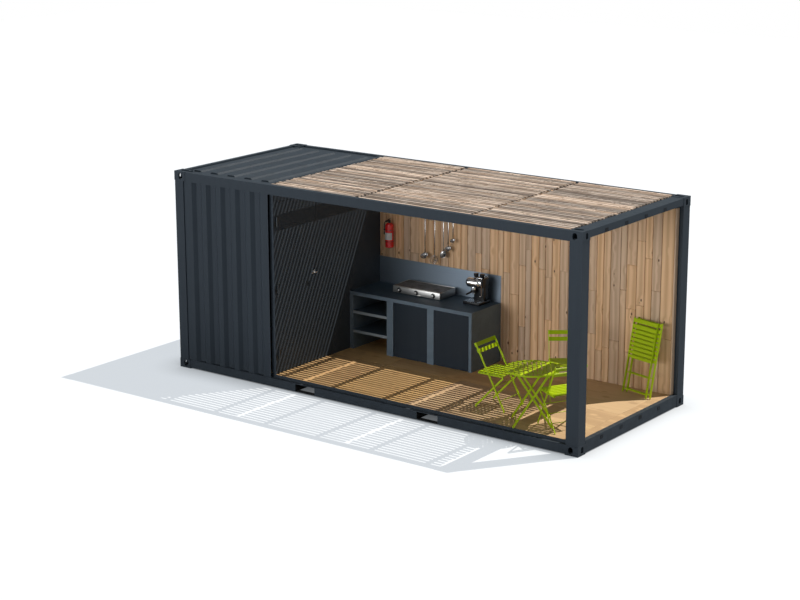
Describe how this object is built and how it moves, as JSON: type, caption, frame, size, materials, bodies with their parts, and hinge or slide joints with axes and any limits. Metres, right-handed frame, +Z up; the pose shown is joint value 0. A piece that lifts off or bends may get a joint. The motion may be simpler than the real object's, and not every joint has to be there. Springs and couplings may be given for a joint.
{
  "type": "shipping container cabin",
  "caption": "Steel freight container turned into a small open-fronted cabin: a closed store with a door, a slatted sun roof, a lined terrace with a kitchen counter and folding furniture.",
  "frame": {"origin": "middle of the container's footprint at the underside of the bottom corner fittings", "axes": "+X along the container towards its open end, +Y across it towards the closed long wall, +Z up"},
  "size_m": [6.058, 2.438, 2.591],
  "materials": {
    "container_paint": "satin anthracite paint",
    "underframe_paint": "dark underframe paint",
    "floor_plywood": "oiled plywood",
    "weathered_wood": "weathered softwood",
    "partition_paint": "satin charcoal paint",
    "hinge_steel": "painted steel",
    "lever_steel": "brushed",
    "lining_boards": "oiled softwood boards",
    "lining_rails": "rough sawn",
    "counter_render": "grey mineral coating",
    "cupboard_paint": "satin charcoal paint",
    "splashback_steel": "brushed",
    "griddle_steel": "brushed",
    "knob_plastic": "black",
    "coffee_chrome": "polished",
    "extinguisher_paint": "gloss red",
    "utensil_steel": "polished",
    "furniture_paint": "lime green powder coat"
  },
  "bodies": {
    "cabin": {"corner_fittings_bottom": "container_paint", "corner_fittings_top": "container_paint", "corner_post_left_front": "container_paint", "corner_post_left_rear": "container_paint", "corner_post_right_front": "container_paint", "corner_post_right_rear": "container_paint", "top_rail_front": "container_paint", "top_rail_rear": "container_paint", "header_left": "container_paint", "header_right": "container_paint", "bottom_rail_front": "container_paint", "bottom_rail_rear": "container_paint", "sill_left": "container_paint", "sill_right": "container_paint", "door_keepers": "underframe_paint", "fork_pockets": "underframe_paint", "cross_members": "underframe_paint", "floor_boards": "floor_plywood", "front_wall": "container_paint", "rear_wall": "container_paint", "left_end_wall": "container_paint", "roof_sheet": "container_paint", "roof_edge_beam": "container_paint", "roof_joists": "container_paint", "slat_panel_left": "weathered_wood", "slat_panel_middle": "weathered_wood", "slat_panel_right": "weathered_wood", "partition_jamb": "partition_paint", "partition_wall": "partition_paint", "partition_head": "partition_paint", "hinge_pins": "hinge_steel", "wall_lining": "lining_boards", "lining_end_board": "lining_boards", "lining_rails_rear": "lining_rails", "counter_top": "counter_render", "counter_sides": "counter_render", "counter_shelves": "counter_render", "splashback": "splashback_steel", "griddle": "griddle_steel", "griddle_knobs": "knob_plastic", "coffee_machine": "coffee_chrome", "fire_extinguisher": "extinguisher_paint", "utensil_rail": "utensil_steel", "utensils": "utensil_steel", "table_top": "furniture_paint", "table_legs": "furniture_paint", "chair_left": "furniture_paint", "chair_right": "furniture_paint", "chair_rear": "furniture_paint", "folded_chairs": "furniture_paint"},
    "store_door_leaf": {"store_door": "partition_paint", "door_lever": "lever_steel", "door_hinge_sleeves": "hinge_steel"},
    "cupboard_leaf_left": {"cupboard_door_left": "cupboard_paint"},
    "cupboard_leaf_right": {"cupboard_door_right": "cupboard_paint"}
  },
  "joints": [
    {"name": "store_door_hinge", "type": "hinge", "parent": "cabin", "child": "store_door_leaf", "pos_m": [-1.434, -1.102, 0.6], "axis": [0, 0, 1], "range_deg": [-100, 0]},
    {"name": "cupboard_hinge_left", "type": "hinge", "parent": "cabin", "child": "cupboard_leaf_left", "pos_m": [-0.718, 0.358, 0.5], "axis": [0, 0, 1], "range_deg": [-90, 0]},
    {"name": "cupboard_hinge_right", "type": "hinge", "parent": "cabin", "child": "cupboard_leaf_right", "pos_m": [0.43, 0.358, 0.5], "axis": [0, 0, 1], "range_deg": [0, 90]}
  ]
}
